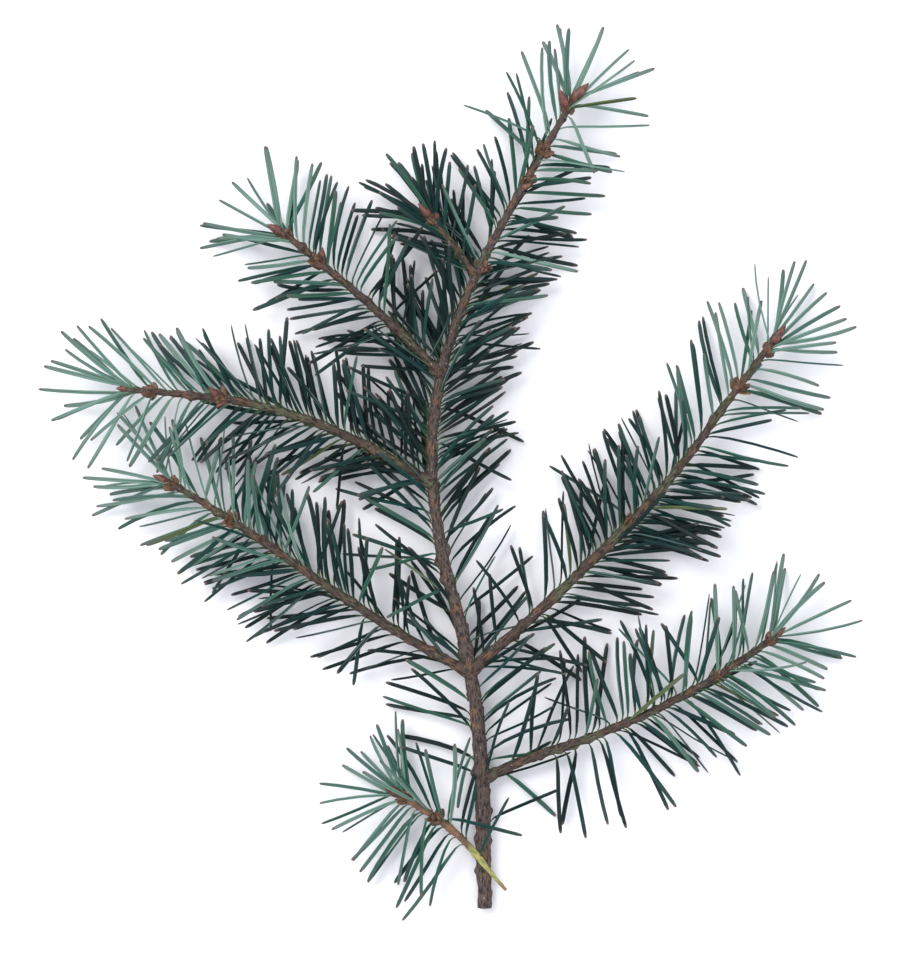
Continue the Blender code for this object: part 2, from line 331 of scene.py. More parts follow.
def bark_finish(name, ground, rust, furrow, fleck, film, rust_share, film_share):
    """Bark: a brown ground with rust patches, green film, dark furrows along it and pale flecks."""
    material, shader, node, link = new_material(name, BARK_ROUGHNESS)
    place = node("ShaderNodeTexCoord").outputs["Object"]
    grain = node("ShaderNodeUVMap", uv_map=GRAIN_MAP).outputs[0]
    rusty = noise(node, link, place, RUST_SCALE, 4.0)
    green = noise(node, link, place, FILM_SCALE, 3.0)
    specks = noise(node, link, place, SPECK_SCALE, 3.0)
    furrows = noise(node, link, stretched(node, link, grain, FURROW_STRETCH), 1.0, 5.0)

    def past(share, border):
        """Limits that about this share of a pattern is past."""
        return 1.0 - share - border, 1.0 - share + border

    colour = shaded(node, link, ground, rusty, past(rust_share, RUST_BORDER), rust)
    colour = shaded(node, link, colour, green, past(film_share, FILM_BORDER), film)
    colour = shaded(node, link, colour, furrows, FURROW_RANGE, furrow)
    colour = shaded(node, link, colour, specks, FLECK_RANGE, fleck)
    link(colour, shader.inputs["Base Color"])
    shader.inputs["Specular IOR Level"].default_value = BARK_SHINE

    bump = node("ShaderNodeBump")
    bump.inputs["Strength"].default_value = BUMP_STRENGTH
    bump.inputs["Distance"].default_value = BUMP_DEPTH * MM
    link(mixed(node, link, 0.5, furrows, specks), bump.inputs["Height"])
    link(bump.outputs[0], shader.inputs["Normal"])
    return material


def bark_piece(name, line, sides, relief, material, nodes):
    """A limb of bark: rings of radius + relief, drawn in to a quarter circle at the end."""
    around = UNDERSIDE + np.arange(sides) / sides * FULL_TURN
    to_end = (line["along"][-1] - line["along"]) / line["radius"][-1]
    drawn_in = np.sqrt(np.clip(1.0 - (1.0 - np.clip(to_end, 0.0, 1.0)) ** 2, BLUNT_END, 1.0))
    radius = (line["radius"][:, None] + relief(around)) * drawn_in[:, None]
    points = tube_points(line, around, radius)
    rows, columns = radius.shape
    piece = new_piece(name, points, tube_faces(rows, columns), [material])
    grain, bake = tube_maps(line, rows, columns, FULL_TURN * line["radius"][0])
    add_map(piece, BAKE_MAP, bake)
    add_map(piece, GRAIN_MAP, grain)
    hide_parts(*nodes)


stem_line = limb_line(STEM, STEM_FOOT)
stem_bark = bark_finish(
    "rough brown bark", ground=(0.088, 0.064, 0.055), rust=(0.15, 0.082, 0.05), furrow=(0.024, 0.018, 0.017),
    fleck=(0.31, 0.27, 0.24), film=(0.085, 0.083, 0.06), rust_share=0.42, film_share=0.38)


def stem_relief(around):
    """Swellings, furrows, fine roughness, pegs and knots of the stem."""
    draw = np.random.default_rng(11)
    relief = uneven(draw, stem_line, around, STEM_RELIEF)
    pegs = leaf_pegs(draw, stem_line, around, spacing=1.1, height=0.36)
    return relief + pegs + knots(stem_line, around, STEM_KNOTS)


bark_piece("stem_bark", stem_line, STEM_SIDES, stem_relief, stem_bark, ["stem"])


# The cut end
# The sawn face of the stem: pale wood with a brown pith and faint rings, a hair proud of the bark's
# end. Made as a disc of rings with a slightly ragged rim, coloured by distance from the pith.

CUT_RINGS = 10
CUT_SIDES = 44
CUT_PROUD = 0.06
CUT_INSIDE = 0.12              # the wood's rim lies this far inside the bark's outer face
CUT_SUNK = 0.1                 # and this far in from the bark's end
RIM_STARTS = 0.97
PITH_STARTS = 0.04
YEAR_RING = 0.42
RING_RANGE = (0.2, 1.0)
YEAR_WOOD = (0.42, 0.31, 0.185)
YEAR_LINE = (0.30, 0.20, 0.11)
# distances from the pith where a colour starts and where it is full, and the colour
CUT_BANDS = (
    (0.3, 0.2, (0.15, 0.075, 0.035)),
    (1.45, 1.6, (0.13, 0.10, 0.05)),
    (1.68, 1.8, (0.06, 0.035, 0.025)),
)

cut_left, cut_up = cross_axes(stem_line["place"])
cut_forward = unit(stem_line["place"][1] - stem_line["place"][0])
cut_centre = stem_line["place"][0] - CUT_PROUD * cut_forward


def cut_face_points():
    """Points out from the pith: radius grows by even steps, and the rim sinks back to the bark."""
    share = np.linspace(PITH_STARTS, 1.0, CUT_RINGS)[:, None]
    angle = np.arange(CUT_SIDES)[None, :] / CUT_SIDES * FULL_TURN
    draw = np.random.default_rng(5)
    ragged = 1.0 + 0.03 * waves(draw, share * 3.0, angle, 12, 1.0, 7)
    radius = (share * (STEM["radii"][0] - CUT_INSIDE) * ragged)[..., None]
    saw_marks = 0.02 * waves(draw, share * 6.0, angle, 14, 0.8, 9)
    sunk = np.where(share > RIM_STARTS, CUT_PROUD + CUT_SUNK, saw_marks)[..., None]
    spokes = np.cos(angle)[..., None] * cut_left[0] + np.sin(angle)[..., None] * cut_up[0]
    return cut_centre + radius * spokes + sunk * cut_forward


def cut_wood_finish():
    """Pale wood with year rings, a pith and a brown inner bark, by distance from the centre."""
    material, shader, node, link = new_material("sawn wood", 0.75)
    centred = node("ShaderNodeVectorMath", operation="SUBTRACT")
    link(node("ShaderNodeTexCoord").outputs["Object"], centred.inputs[0])
    centred.inputs[1].default_value = [value * MM for value in cut_centre]
    length = node("ShaderNodeVectorMath", operation="LENGTH")
    link(centred.outputs[0], length.inputs[0])
    distance = length.outputs["Value"]
    rings = worked_out(node, link, "MULTIPLY", distance, FULL_TURN / (YEAR_RING * MM))
    rings = worked_out(node, link, "SINE", rings)
    colour = shaded(node, link, YEAR_WOOD, rings, RING_RANGE, YEAR_LINE)
    for starts, full, band in CUT_BANDS:
        colour = shaded(node, link, colour, distance, (starts * MM, full * MM), band)
    link(colour, shader.inputs["Base Color"])
    return material


cut_faces = [face[::-1] for face in tube_faces(CUT_RINGS, CUT_SIDES)[:-1]]
new_piece("cut_end", cut_face_points(), cut_faces, [cut_wood_finish()])


# The side twigs
# Shoots of one to three years that leave the stem to either side, with thin brown bark and the same
# pegs. Each is a tapering tube that starts inside the stem, with a swollen collar where it leaves.

TWIGS = {
    "twig_lower_right": dict(
        leaves_stem_at=36.0, length=92.0, headings=(27, 18, 24, 31, 38),
        heights=(4.3, 5.6, 6.4, 7.0, 7.6), radii=(1.3, 1.15, 1.05, 0.95, 0.8)),
    "twig_upper_right": dict(
        leaves_stem_at=66.5, length=125.0, headings=(40, 43, 46, 55, 52),
        heights=(5.6, 6.8, 7.8, 8.6, 9.4), radii=(1.4, 1.35, 1.2, 1.0, 0.8)),
    "twig_lower_left": dict(
        leaves_stem_at=66.0, length=100.0, headings=(153, 148, 145, 146, 150),
        heights=(5.6, 6.6, 7.4, 8.0, 8.6), radii=(1.3, 1.25, 1.1, 0.95, 0.8)),
    "twig_middle_left": dict(
        leaves_stem_at=119.5, length=90.0, headings=(147, 153, 163, 174, 175),
        heights=(7.6, 8.2, 8.6, 9.0, 9.6), radii=(1.25, 1.25, 1.1, 0.9, 0.75)),
    "twig_upper_left": dict(
        leaves_stem_at=150.0, length=60.0, headings=(132, 136, 139, 141, 142),
        heights=(8.2, 8.8, 9.2, 9.8, 10.6), radii=(1.2, 1.15, 1.05, 0.9, 0.75)),
    "twig_crown_left": dict(
        leaves_stem_at=179.5, length=21.0, headings=(129, 129, 129),
        heights=(8.6, 10.4, 12.6), radii=(0.9, 0.8, 0.7)),
}
TWIG_SIDES = 28
COLLAR_SWELL = 0.55            # of the twig's radius
COLLAR_LENGTH = 2.6
COLLAR_FROM = 1.2              # up to about here the twig is inside the stem
TWIG_RELIEF = ((0.07, 8, 6.0, 1), (0.05, 24, 1.8, 7), (0.022, 30, 0.7, 12))
SCAR_SPACING = 8.0             # on average; then the range of each scar's four numbers
FIRST_SCAR = 4.0               # no scar is nearer the stem than this
SCAR_ANGLES = (-20.0, 200.0)
SCAR_SIZES = (0.8, 1.3)
SCAR_HEIGHTS = (0.3, 0.75)

twig_bark = bark_finish(
    "thin twig bark", ground=(0.066, 0.046, 0.037), rust=(0.125, 0.068, 0.042), furrow=(0.026, 0.018, 0.016),
    fleck=(0.28, 0.235, 0.19), film=(0.085, 0.09, 0.05), rust_share=0.44, film_share=0.42)

limb_lines = {"stem": stem_line}
for twig_name, twig in TWIGS.items():
    limb_lines[twig_name] = limb_line(twig, reading(stem_line, "place", twig["leaves_stem_at"]))


def twig_relief(line, seed):
    """A twig's collar, unevenness, pegs and old scars, as a function of the angles round it."""
    def relief(around):
        draw = np.random.default_rng(seed)
        past_stem = np.maximum(line["along"][:, None] - COLLAR_FROM, 0.0)
        collar = COLLAR_SWELL * line["radius"][0] * np.exp(-(past_stem / COLLAR_LENGTH) ** 2)
        rough = uneven(draw, line, around, TWIG_RELIEF)
        pegs = leaf_pegs(draw, line, around, spacing=0.95, height=0.34)
        length = line["along"][-1]
        ranges = ((FIRST_SCAR, length), SCAR_ANGLES, SCAR_SIZES, SCAR_HEIGHTS)
        scars = [[draw.uniform(*limits) for limits in ranges] for _ in range(int(length / SCAR_SPACING))]
        return collar + rough + pegs + knots(line, around, scars)
    return relief


for seed, twig_name in enumerate(TWIGS, start=21):
    bark_piece(twig_name.replace("twig", "bark"), limb_lines[twig_name], TWIG_SIDES,
               twig_relief(limb_lines[twig_name], seed), twig_bark, [twig_name])


# The sprig's stalk
# A small broken sprig lies across the foot of the stem. Its stalk is peeled and torn below: brown
# near the needles, then yellow-green wood that thins to a ragged heel beyond the stem.

SPRIG = dict(
    crosses_stem_at=12.7, heel=9.6, length=41.0, headings=(132, 128, 137, 148, 146),
    heights=(5.2, 6.05, 5.6, 5.6, 6.4), radii=(0.35, 0.85, 0.95, 1.0, 0.8))
SPRIG_SIDES = 24
PEELED_TO = 16.0               # peeled wood from the heel to here, bark beyond
TORN_LENGTH = 5.0              # the tears die away over this length
TEARS = ((0.10, 20, 1.6, 6),)
FIBRES = ((0.05, 24, 4.0, 8),)
SPRIG_KNOTS = ((13.0, 60.0, 1.1, 0.5), (24.0, 250.0, 1.3, 0.4))
FIBRE_STRETCH = (3.0, 0.35, 1.0)
FIBRE_SCALE = 1.3
SPRIG_PATCH_SCALE = 420.0
GREEN_WOOD = (0.15, 0.17, 0.045)
YELLOW_WOOD = (0.42, 0.38, 0.13)
HEEL_BROWN = (0.23, 0.14, 0.06)
SPRIG_BARK = (0.10, 0.06, 0.035)
SPRIG_RUST = (0.20, 0.10, 0.045)
FIBRE_RANGE = (0.35, 0.65)
HEEL_RANGE = (5.0, 1.0)
SPRIG_RUST_RANGE = (0.45, 0.6)
BORDER_RAGGED = 9.0            # how far along the stalk the border's teeth reach
BORDER_RANGE = (PEELED_TO + 3.0, PEELED_TO + 6.0)

sprig_toward = math.radians(0.5 * (SPRIG["headings"][0] + SPRIG["headings"][1]))
sprig_crossing = reading(stem_line, "place", SPRIG["crosses_stem_at"])
sprig_ahead = np.array((math.cos(sprig_toward), math.sin(sprig_toward)))
limb_lines["sprig_stalk"] = limb_line(SPRIG, sprig_crossing[:2] - SPRIG["heel"] * sprig_ahead)


def sprig_finish():
    """Peeled yellow-green wood below and brown bark above, with a ragged border between them."""
    material, shader, node, link = new_material("torn sprig wood", 0.7)
    grain = node("ShaderNodeUVMap", uv_map=GRAIN_MAP).outputs[0]
    split = node("ShaderNodeSeparateXYZ")
    link(grain, split.inputs[0])
    along = split.outputs[1]
    fibres = noise(node, link, stretched(node, link, grain, FIBRE_STRETCH), FIBRE_SCALE, 4.0)
    place = node("ShaderNodeTexCoord").outputs["Object"]
    patches = noise(node, link, place, SPRIG_PATCH_SCALE, 3.0)
    wood = shaded(node, link, GREEN_WOOD, fibres, FIBRE_RANGE, YELLOW_WOOD)
    wood = shaded(node, link, wood, along, HEEL_RANGE, HEEL_BROWN)
    bark = shaded(node, link, SPRIG_BARK, patches, SPRIG_RUST_RANGE, SPRIG_RUST)
    border = worked_out(node, link, "MULTIPLY_ADD", fibres, BORDER_RAGGED, along)
    link(shaded(node, link, wood, border, BORDER_RANGE, bark), shader.inputs["Base Color"])
    return material


def sprig_relief(around):
    """Tears and fibres of the stalk, a knot above and one below, and pegs past the peeled part."""
    line = limb_lines["sprig_stalk"]
    draw = np.random.default_rng(31)
    torn = np.exp(-line["along"][:, None] / TORN_LENGTH) * uneven(draw, line, around, TEARS)
    fibres = uneven(draw, line, around, FIBRES)
    pegs = leaf_pegs(draw, line, around, spacing=1.0, height=0.22, start=PEELED_TO)
    return torn + fibres + knots(line, around, SPRIG_KNOTS) + pegs


bark_piece("sprig_stalk_wood", limb_lines["sprig_stalk"], SPRIG_SIDES, sprig_relief, sprig_finish(),
           ["sprig_stalk"])


# The needles
# Flat, blunt, dark green needles on every limb, in two loose ranks that lean towards the tip. Each
# is a grooved blade on a thin foot. They are dealt out by limb and by side, as many to the
# centimetre as grow there, so the gaps between the limbs stay open.

# For each limb, from foot to tip: needles to the centimetre on its left and right sides and their
# lean from it in degrees, their length, and how pale they are. That paleness is partly the needles'
# own colour and partly painted light: painted shade towards the limb's foot, deep among the
# needles, and painted highlight towards its end. Then how many fan out round its end, and how far
# to either side.
NEEDLES = {
    "stem": dict(
        left=dict(
            per_cm=(0, 0, 1.5, 2.2, 3.4, 5.2, 8.5, 9, 8, 6, 5, 3),
            lean=(60, 60, 62, 55, 48, 50, 42, 42, 45, 48, 50, 48)),
        right=dict(
            per_cm=(0, 0, 4, 3.6, 2.8, 4.5, 9, 10, 9.5, 7.5, 4.5, 3),
            lean=(78, 78, 76, 66, 62, 62, 62, 58, 62, 66, 60, 55)),
        length=(26, 26, 26, 25, 25, 26, 26, 25, 25, 24, 24, 24),
        pale=(0.25, 0.25, 0.25, 0.22, 0.15, 0.12, 0.4, 0.95),
        fan=9, fan_spread=58),
    "twig_lower_right": dict(
        left=dict(
            per_cm=(1.6, 2.2, 4.5, 6.5, 8, 7, 6.5, 4),
            lean=(62, 64, 80, 74, 66, 52, 50, 34)),
        right=dict(
            per_cm=(0, 0.4, 1.5, 6, 6.5, 9.5, 7.5, 3),
            lean=(100, 105, 112, 88, 76, 54, 58, 42)),
        length=(24, 25, 26, 26, 26, 25, 25),
        pale=(0.15, 0.15, 0.2, 0.35, 0.65, 0.95),
        fan=9, fan_spread=50),
    "twig_upper_right": dict(
        left=dict(
            per_cm=(2.4, 1.8, 3, 6, 10.5, 10, 6, 4, 5, 5),
            lean=(42, 60, 56, 60, 60, 55, 52, 58, 46, 26)),
        right=dict(
            per_cm=(3.4, 3.4, 4.5, 8, 13, 12, 6, 3.6, 4, 3),
            lean=(40, 46, 50, 56, 60, 56, 68, 66, 54, 40)),
        length=(23, 25, 26, 26, 25, 25, 25, 24),
        pale=(0.1, 0.08, 0.1, 0.25, 0.6, 0.9),
        fan=9, fan_spread=48),
    "twig_lower_left": dict(
        left=dict(
            per_cm=(2, 2.2, 4.4, 9, 11.5, 9, 5.5, 4.5),
            lean=(22, 36, 50, 50, 52, 50, 58, 48)),
        right=dict(
            per_cm=(2, 2.6, 5.4, 8, 7.5, 11, 5.5, 3.5),
            lean=(32, 55, 60, 58, 55, 48, 52, 40)),
        length=(22, 24, 25, 25, 24, 24, 24),
        pale=(0.15, 0.12, 0.2, 0.4, 0.7, 1.0),
        fan=8, fan_spread=58),
    "twig_middle_left": dict(
        left=dict(
            per_cm=(4.5, 7.5, 8.5, 8, 6, 4.5, 4, 4),
            lean=(40, 50, 58, 55, 60, 58, 55, 36)),
        right=dict(
            per_cm=(5, 6.5, 8.5, 9.5, 11.5, 8, 4.5, 3.5),
            lean=(45, 55, 60, 60, 60, 62, 62, 42)),
        length=(22, 24, 25, 25, 24, 25, 26),
        pale=(0.12, 0.08, 0.1, 0.3, 0.8, 1.05),
        fan=9, fan_spread=46),
    "twig_upper_left": dict(
        left=dict(
            per_cm=(5.5, 7, 6.5, 6, 7, 5),
            lean=(30, 50, 60, 55, 46, 38)),
        right=dict(
            per_cm=(5.5, 6.5, 5.5, 6, 7, 4.5),
            lean=(40, 55, 60, 60, 54, 40)),
        length=(22, 24, 24, 24, 24),
        pale=(0.12, 0.2, 0.45, 0.9),
        fan=8, fan_spread=55),
    "twig_crown_left": dict(
        left=dict(
            per_cm=(6, 9, 10),
            lean=(35, 30, 26)),
        right=dict(
            per_cm=(6, 9, 10),
            lean=(32, 30, 30)),
        length=(22, 22, 22),
        pale=(0.12, 0.25),
        fan=9, fan_spread=52),
    "sprig_stalk": dict(
        left=dict(
            per_cm=(0, 0, 3.2, 8, 6),
            lean=(120, 125, 122, 92, 50)),
        right=dict(
            per_cm=(0, 0.6, 4, 7.5, 7),
            lean=(45, 48, 50, 40, 30)),
        length=(25, 26, 26, 25, 23),
        pale=(0.35, 0.4, 0.6, 0.8),
        fan=8, fan_spread=55),
}
NEEDLE_WIDTH = 1.2
NEEDLE_THICK = 0.45
SHARE_ALONG = np.array((0.0, 0.035, 0.09, 0.25, 0.5, 0.78, 0.93, 0.985, 1.0))
WIDTH_ALONG = np.array((0.34, 0.3, 0.6, 0.95, 1.0, 1.0, 0.93, 0.68, 0.28))
THICK_ALONG = np.array((1.0, 1.0, 0.9, 1.0, 1.0, 1.0, 0.9, 0.6, 0.35))
# Round the blade from its right edge over the grooved top and back under, past the keel.
SECTION_ACROSS = np.array((1.0, 0.55, 0.0, -0.55, -1.0, -0.5, 0.0, 0.5))
SECTION_UP = np.array((0.0, 0.5, 0.12, 0.5, 0.0, -0.32, -0.5, -0.32))
# From deep to pale the tints are partly the needles' own colours and partly painted light: the darkest are
# painted shade, and the palest are painted highlight on top of paler undersides.
TINTS = (
    ("deep", (0.0030, 0.0130, 0.0120)),
    ("dark", (0.0035, 0.0200, 0.0185)),
    ("blue", (0.0055, 0.0330, 0.0310)),
    ("green", (0.0090, 0.0520, 0.0430)),
    ("fresh", (0.0300, 0.1050, 0.0720)),
    ("grey", (0.0650, 0.1550, 0.1200)),
    ("pale", (0.1450, 0.2600, 0.2050)),
    ("olive", (0.0900, 0.1300, 0.0500)),
)
OLIVE = len(TINTS) - 1
OLIVE_SHARE = 0.015
TINT_SPREAD = 0.16
BLACK = (0.0, 0.0, 0.0)
UNDER_GREY = (0.16, 0.24, 0.21)
FOOT_YELLOW = (0.10, 0.16, 0.045)
DUSKY_MAUVE = (0.085, 0.078, 0.074)
TIP_BROWN = (0.12, 0.085, 0.075)
GROOVE_SHADE = (0.25, 0.09)          # where round the blade the painted groove shade lies, and how far it reaches
PALE_BANDS = ((0.62, 0.08), (0.88, 0.08))
LEAST_DUSKY = 0.07             # of the deepest tint, and how much more of each paler one
DUSKY_STEP = 0.065
FOOT_RANGE = (0.14, 0.02)      # shares of the length where a colour starts, and where it is full
DUSKY_RANGE = (0.5, 1.0)
TIP_RANGE = (0.94, 0.995)
NEEDLE_SHINE = 0.16
NEEDLE_MARGIN = 0.04           # of a tint's strip of the map, kept free at each side
END_DISC = (0.1, 0.01)         # the faces that close a blade's ends, as they lie on the map
FOOT_DISC_AT = (0.25, 0.012)
TIP_DISC_AT = (0.25, 0.985)

# Three layers of needles: those that lie low, those half-way up and those that stand up.
LAYER_SHARES = (0.34, 0.42, 0.24)
LOWEST_TIPS = np.array((0.7, 4.0, 11.0))
HIGHEST_TIPS = np.array((4.0, 11.0, 22.0))
LAYER_FLANKS = np.array((-35.0, 0.0, 42.0))   # where they stand on the limb, up from its side
LAYER_PAINTED_LIGHT = 0.12             # painted light and shade: each layer is so much paler than the one below
FLANK_SPREAD = 18.0
LOWEST_MIDDLE = 0.6            # no blade's middle comes nearer the floor than this
CLUMP = 5.0                    # needles within so many millimetres lean alike
LONGEST_LIMB = 260.0           # the leans are drawn as far as this
FOOT_SHIFT = 0.45              # of the space between two needles of a side
LEAN_SPREAD = 9.0
STRAY_SHARE = 0.15
STRAY_SPREAD = 28.0
LENGTHS = (0.76, 1.07)         # times the length that the table gives
FAN_LENGTHS = (0.8, 1.05)
FAN_DEPTH = 3.5
FAN_LEAN_SPREAD = 5.0
FAN_FLANKS = (-60.0, 70.0)
BEND_SPREAD = 9.0
ROLL_SPREAD = 24.0
TURNED_SHARE = 0.16            # so many show their edge or their underside
TURNED_BY = (50.0, 180.0)
WIDTHS = (0.82, 1.1)
STEEPEST = 0.9                 # the sine of the steepest rise
FOOT_SHARE = 0.05              # a needle turns from the limb's way to its own over this share
FOOT_TURN = 0.65               # of that turn is still to come at the foot
RISE_AT_FOOT = 1.2             # times the mean rise, and how much of it is gone at the tip
RISE_LOST = 0.35


def side_feet(draw, line, profile):
    """Distances along a limb, with as many to the centimetre as the profile says."""
    along = line["along"]
    density = evenly(profile, along / along[-1]) / 10.0
    total = np.concatenate(([0.0], np.cumsum(0.5 * (density[1:] + density[:-1]) * np.diff(along))))
    count = int(round(total[-1]))
    ranks = (np.arange(count) + draw.uniform(-FOOT_SHIFT, FOOT_SHIFT, count) + 0.5).clip(0.0, total[-1])
    return np.interp(ranks, total, along)


def clumped(draw, distance):
    """A lean that neighbours share: random values every few millimetres, joined by straight lines."""
    marks = np.arange(-CLUMP, LONGEST_LIMB, CLUMP)
    return np.interp(distance, marks, draw.normal(0.0, LEAN_SPREAD, len(marks)))


def tip_heights(draw, count):
    """Each needle's layer, and where in it the tip ends up."""
    layer = draw.choice(len(LAYER_SHARES), count, p=LAYER_SHARES)
    return layer, draw.uniform(LOWEST_TIPS[layer], HIGHEST_TIPS[layer])


def rank_of_needles(draw, limb, side):
    """One side of a limb: each needle's foot, flank, directions, tip height, length and paleness."""
    line, grown = limb_lines[limb], NEEDLES[limb]
    sign = 1.0 if side == "left" else -1.0
    distance = side_feet(draw, line, grown[side]["per_cm"])
    count = len(distance)
    share = distance / line["along"][-1]
    lean = evenly(grown[side]["lean"], share) + clumped(draw, distance) + draw.normal(0.0, LEAN_SPREAD, count)
    stray = draw.random(count) < STRAY_SHARE
    lean = np.where(stray, lean + draw.normal(0.0, STRAY_SPREAD, count), lean)
    layer, tip_height = tip_heights(draw, count)
    flank = LAYER_FLANKS[layer] + draw.uniform(-FLANK_SPREAD, FLANK_SPREAD, count)
    limb_heading = np.degrees(reading(line, "heading", distance))
    return dict(
        distance=distance,
        limb_heading=limb_heading,
        heading=limb_heading + sign * lean,
        sign=np.full(count, sign),
        flank=flank,
        tip_height=tip_height,
        length=evenly(grown["length"], share) * draw.uniform(*LENGTHS, count),
        # Painted shade on the low layers and painted light on the high ones, added to the limb's paleness.
        paleness=evenly(grown["pale"], share) + LAYER_PAINTED_LIGHT * (layer - 1.0),
    )


def tip_fan(draw, limb):
    """The needles round a limb's end, fanned from one side through straight on to the other."""
    line, grown = limb_lines[limb], NEEDLES[limb]
    count, spread = grown["fan"], grown["fan_spread"]
    distance = line["along"][-1] - draw.uniform(0.0, FAN_DEPTH, count)
    lean = np.linspace(-spread, spread, count) + draw.normal(0.0, FAN_LEAN_SPREAD, count)
    _, tip_height = tip_heights(draw, count)
    end_heading = np.degrees(line["heading"][-1])
    return dict(
        distance=distance,
        limb_heading=np.full(count, end_heading),
        heading=end_heading + lean,
        sign=np.where(lean > 0.0, 1.0, -1.0),
        flank=draw.uniform(*FAN_FLANKS, count),
        tip_height=tip_height,
        length=grown["length"][-1] * draw.uniform(*FAN_LENGTHS, count),
        paleness=np.full(count, grown["pale"][-1]),
    )


# Single needles that stand out: limb, distance, heading, length, flank, tip height, paleness.
LONE_NEEDLES = (
    ("sprig_stalk", 25.3, -14.0, 22.5, 60.0, 8.5, 0.55),
    ("stem", 42.6, -102.0, 16.5, 20.0, 2.0, 0.80),
    ("stem", 50.5, 163.0, 26.5, 10.0, 3.0, 0.30),
    ("stem", 52.5, 172.0, 24.5, 0.0, 2.0, 0.25),
    ("twig_lower_right", 6.0, -42.0, 19.5, -20.0, 1.2, 0.45),
    ("twig_lower_right", 27.0, -102.0, 23.0, -10.0, 1.5, 0.10),
    ("twig_upper_right", 52.0, 92.0, 23.0, 10.0, 9.0, 0.20),
    ("twig_middle_left", 88.0, 178.0, 26.5, 0.0, 8.0, 0.90),
)


def lone_needles(limb):
    """The needles of the list above that stand on one limb, in the form of the other groups."""
    rows = [row[1:] for row in LONE_NEEDLES if row[0] == limb]
    distance, heading, length, flank, tip_height, paleness = np.array(rows).reshape(-1, 6).T
    limb_heading = np.degrees(reading(limb_lines[limb], "heading", distance))
    turned = (heading - limb_heading + 180.0) % 360.0 - 180.0
    return dict(distance=distance, limb_heading=limb_heading, heading=limb_heading + turned,
                sign=np.sign(turned), flank=flank, tip_height=tip_height, length=length, paleness=paleness)


def needle_paths(feet, limb_heading, heading, rise, length, bend):
    """Middle lines of needles: off along the limb, round within the foot, then bent evenly.

    The heading is the needle's own plus a part of the turn from the limb's that dies away as
    exp(-share / FOOT_SHARE), plus an even bend, and places add up steps of share times length.
    """
    near_foot = np.exp(-SHARE_ALONG / FOOT_SHARE)[None, :]
    away = heading[:, None] + FOOT_TURN * (limb_heading - heading)[:, None] * near_foot
    away = np.radians(away + bend[:, None] * (SHARE_ALONG[None, :] - 0.5))
    up = np.radians(rise)[:, None] * (1.0 - near_foot) * (RISE_AT_FOOT - RISE_LOST * SHARE_ALONG[None, :])
    ahead = np.stack((np.cos(up) * np.cos(away), np.cos(up) * np.sin(away), np.sin(up)), axis=-1)
    step = np.diff(SHARE_ALONG)[None, :, None] * length[:, None, None]
    moved = np.cumsum(0.5 * (ahead[:, 1:] + ahead[:, :-1]) * step, axis=1)
    places = feet[:, None, :] + np.concatenate((np.zeros((len(feet), 1, 3)), moved), axis=1)
    places[..., 2] = np.maximum(places[..., 2], LOWEST_MIDDLE)
    return places


def needle_blades(places, roll, width, width_along=WIDTH_ALONG, thick=NEEDLE_THICK):
    """Blades round their middle lines: across is level before the roll, up is square to both."""
    forward = unit(np.gradient(places, axis=1))
    level = unit(np.cross(forward, (0.0, 0.0, 1.0)))
    above = np.cross(level, forward)
    turn = np.radians(roll)[:, None, None]
    across = level * np.cos(turn) + above * np.sin(turn)
    up = above * np.cos(turn) - level * np.sin(turn)
    half_width = 0.5 * width[:, None, None] * width_along[None, :, None] * SECTION_ACROSS
    half_thick = thick * THICK_ALONG[None, :, None] * SECTION_UP
    return (places[:, :, None, :] + half_width[..., None] * across[:, :, None, :]
            + half_thick[..., None] * up[:, :, None, :])


def tint_numbers(draw, paleness):
    """Which tint each needle takes: the paler its part of the branch, the further up the row; that paleness
    carries painted light and shade.
    """
    wanted = (paleness + draw.normal(0.0, TINT_SPREAD, len(paleness))) * OLIVE
    number = np.clip(np.round(wanted), 0, OLIVE - 1).astype(int)
    return np.where(draw.random(len(paleness)) < OLIVE_SHARE, OLIVE, number)


def needle_finish(number, tint, colour):
    """Needle green: painted shade darkening the groove, two pale bands below, a yellow foot, a dusky end, a
    brown tip.

    The map's first number runs round the blade within its tint's own strip, and its second from
    foot to tip.
    """
    material, shader, node, link = new_material("needle " + tint, 0.45)
    split = node("ShaderNodeSeparateXYZ")
    link(node("ShaderNodeUVMap", uv_map=BAKE_MAP).outputs[0], split.inputs[0])
    around = worked_out(node, link, "MULTIPLY_ADD", split.outputs[0], float(len(TINTS)), float(-number))
    along = split.outputs[1]

    def banded(shade, centre, reach, other):
        gap = worked_out(node, link, "SUBTRACT", around, centre)
        gap = worked_out(node, link, "ABSOLUTE", gap)
        return shaded(node, link, shade, gap, (reach, 0.3 * reach), other)

    def toward(share, other):
        return tuple(value + share * (aim - value) for value, aim in zip(colour, other))

    dusky = toward(LEAST_DUSKY + DUSKY_STEP * number, DUSKY_MAUVE)
    # Painted shade: the groove along the blade's top is darkened towards black.
    shade = banded(colour, *GROOVE_SHADE, toward(0.45, BLACK))
    for band in PALE_BANDS:
        shade = banded(shade, *band, toward(0.55, UNDER_GREY))
    shade = shaded(node, link, shade, along, FOOT_RANGE, toward(0.4, FOOT_YELLOW))
    shade = shaded(node, link, shade, along, DUSKY_RANGE, dusky)
    shade = shaded(node, link, shade, along, TIP_RANGE, TIP_BROWN)
    link(shade, shader.inputs["Base Color"])
    shader.inputs["Specular IOR Level"].default_value = NEEDLE_SHINE
    return material


def joined_tubes(count, rings, sides):
    """Faces of so many closed tubes, whose corners follow each other in one list."""
    one = tube_faces(rings, sides)
    return [[corner + number * rings * sides for corner in face] for number in range(count) for face in one]


